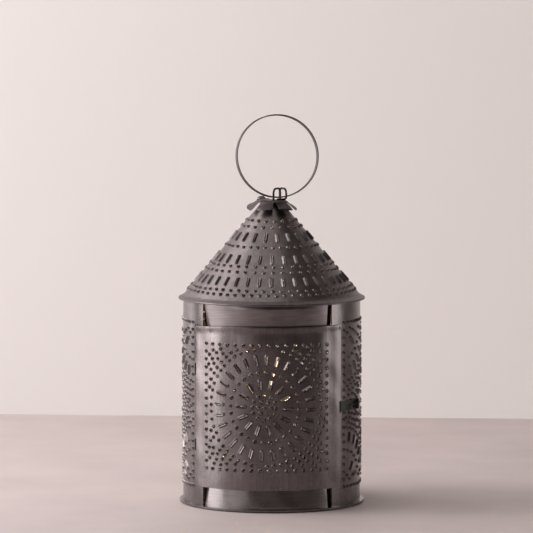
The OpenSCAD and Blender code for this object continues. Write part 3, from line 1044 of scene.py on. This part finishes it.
def stage_material(name, a, b, rough, across=False):
    """A plain surface in two near tones, cloudy, or turning from one to the other from left to right as
    painted shade and light.
    """
    mat, nt, bsdf = node_material(name)
    co = object_coords(nt)
    if across:
        part = nt.nodes.new("ShaderNodeSeparateXYZ")
        nt.links.new(co, part.inputs[0])
        factor = ramp(nt, part.outputs["X"], -0.35, 0.35, 0, 1)
    else:
        factor = mottle(nt, noise(nt, co, 9, 6), 0, 1)
    nt.links.new(mix(nt, factor, a, b), bsdf.inputs["Base Color"])
    bsdf.inputs["Roughness"].default_value = rough
    return mat


def clear_from_behind(mat):
    """A backdrop that a camera behind it looks straight through."""
    nt = mat.node_tree
    surface = nt.nodes["Material Output"].inputs["Surface"]
    front = surface.links[0].from_socket
    backfacing = nt.nodes.new("ShaderNodeNewGeometry").outputs["Backfacing"]
    from_camera = nt.nodes.new("ShaderNodeLightPath").outputs["Is Camera Ray"]
    either = nt.nodes.new("ShaderNodeMixShader")
    nt.links.new(joined(nt, "MULTIPLY", backfacing, from_camera), either.inputs[0])
    nt.links.new(front, either.inputs[1])
    nt.links.new(nt.nodes.new("ShaderNodeBsdfTransparent").outputs[0], either.inputs[2])
    nt.links.new(either.outputs[0], surface)


def plane(name, corners, material):
    mesh = bpy.data.meshes.new(name)
    mesh.from_pydata(corners, [], [(0, 1, 2, 3)])
    mesh.materials.append(material)
    obj = bpy.data.objects.new(name, mesh)
    bpy.context.scene.collection.objects.link(obj)


FLOOR = stage_material("floor", (0.51, 0.440, 0.425), (0.59, 0.508, 0.492), 0.6)
# the wall runs from darker at its left to lighter at its right: painted shade on the left, painted light on
# the right
WALL = stage_material("wall", (0.75, 0.72, 0.70), (0.93, 0.89, 0.855), 0.9, across=True)
clear_from_behind(WALL)
plane("floor", [(-FLOOR_HALF, -FLOOR_HALF, 0), (FLOOR_HALF, -FLOOR_HALF, 0),
                (FLOOR_HALF, BACK, 0), (-FLOOR_HALF, BACK, 0)], FLOOR)
plane("backdrop", [(WALL_LEFT, BACK, 0), (FLOOR_HALF, BACK, 0),
                   (FLOOR_HALF, BACK, WALL_H), (WALL_LEFT, BACK, WALL_H)], WALL)

world = bpy.data.worlds.new("world")
bpy.context.scene.world = world
world.use_nodes = True
background = world.node_tree.nodes["Background"]
background.inputs["Color"].default_value = (0.90, 0.70, 0.64, 1)
background.inputs["Strength"].default_value = 0.05

# ---------------------------------------------------------------- lights, in degrees, metres and watts

CAMERA_AZ = 4.0
LIT_POINT = Vector((0, 0, 0.17))


def area_light(name, azimuth, elevation, distance, width, height, power, colour):
    """A soft light at that azimuth round the lantern from the camera, facing the lantern."""
    data = bpy.data.lights.new(name, "AREA")
    data.shape = "RECTANGLE"
    data.size, data.size_y = width, height
    data.energy = power
    data.color = colour
    a, e = math.radians(azimuth + CAMERA_AZ), math.radians(elevation)
    away = Vector((math.sin(a) * math.cos(e), -math.cos(a) * math.cos(e), math.sin(e)))
    obj = bpy.data.objects.new(name, data)
    obj.location = LIT_POINT + away * distance
    obj.rotation_euler = away.to_track_quat("Z", "Y").to_euler()
    bpy.context.scene.collection.objects.link(obj)


area_light("window_left", -83, 14, 1.9, 1.1, 1.6, 43, (1.0, 0.965, 0.98))
area_light("window_back", -128, 16, 1.6, 0.7, 1.3, 8, (1.0, 0.965, 0.98))
area_light("room_left", -46, 8, 2.4, 1.0, 1.1, 6, (1.0, 0.96, 0.96))
area_light("sky_left", -105, 48, 1.8, 1.0, 1.0, 11, (1.0, 0.96, 0.96))
area_light("card_right", 83, -1, 0.85, 0.36, 0.27, 0.8, (1.0, 0.97, 0.97))
area_light("top_soft", -25, 72, 2.0, 1.4, 1.4, 9, (1.0, 0.97, 0.96))

# ---------------------------------------------------------------- flame, which isn't part of the object

FLAME_Z = 111
FLAME_X = 3.0
FLAME_STEPS = 16
GLOW_AT = (0, 0, 0.134)
# radius and height over the flame's foot
FLAME = ((0.0, 0.0), (2.4, 1.0), (4.2, 4.5), (5.0, 10.0),
         (4.4, 18.0), (3.0, 27.0), (1.2, 36.0), (0.0, 40.0))


def flame_material():
    mat, nt, _ = node_material("flame")
    glow = nt.nodes.new("ShaderNodeEmission")
    glow.inputs["Color"].default_value = (1.0, 0.55, 0.30, 1)
    glow.inputs["Strength"].default_value = 3.2
    nt.links.new(glow.outputs[0], nt.nodes["Material Output"].inputs["Surface"])
    return mat


verts = []
for r, z in FLAME:
    for k in range(FLAME_STEPS):
        x, y = spoke(r, 360 * k / FLAME_STEPS)
        verts.append(((FLAME_X + x) * MM, y * MM, (FLAME_Z + z) * MM))
flame = new_object("flame", verts, tube_faces(len(FLAME), FLAME_STEPS), flame_material(), "candle")

glow = bpy.data.lights.new("candle_glow", "POINT")
glow.energy = 2.4
glow.color = (1.0, 0.55, 0.25)
glow.shadow_soft_size = 0.004
glow_light = bpy.data.objects.new("candle_glow", glow)
glow_light.location = GLOW_AT
bpy.context.scene.collection.objects.link(glow_light)
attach(glow_light, "candle")

# ---------------------------------------------------------------- camera, in metres and degrees

LENS_MM, SENSOR_MM = 275.64, 36.0
DISTANCE, CAMERA_H = 4.0, 0.5715
LOOK_DOWN, LOOK_LEFT = 4.853, 0.073

lens = bpy.data.cameras.new("camera")
lens.sensor_width = SENSOR_MM
lens.lens = LENS_MM
lens.clip_start, lens.clip_end = 0.1, 50
camera = bpy.data.objects.new("camera", lens)
side, front = DISTANCE * math.sin(math.radians(CAMERA_AZ)), DISTANCE * math.cos(math.radians(CAMERA_AZ))
camera.location = (side, -front, CAMERA_H)
camera.rotation_euler = (math.radians(90 - LOOK_DOWN), 0, math.radians(CAMERA_AZ + LOOK_LEFT))
bpy.context.scene.collection.objects.link(camera)
bpy.context.scene.camera = camera
bpy.context.scene.view_settings.view_transform = "Standard"
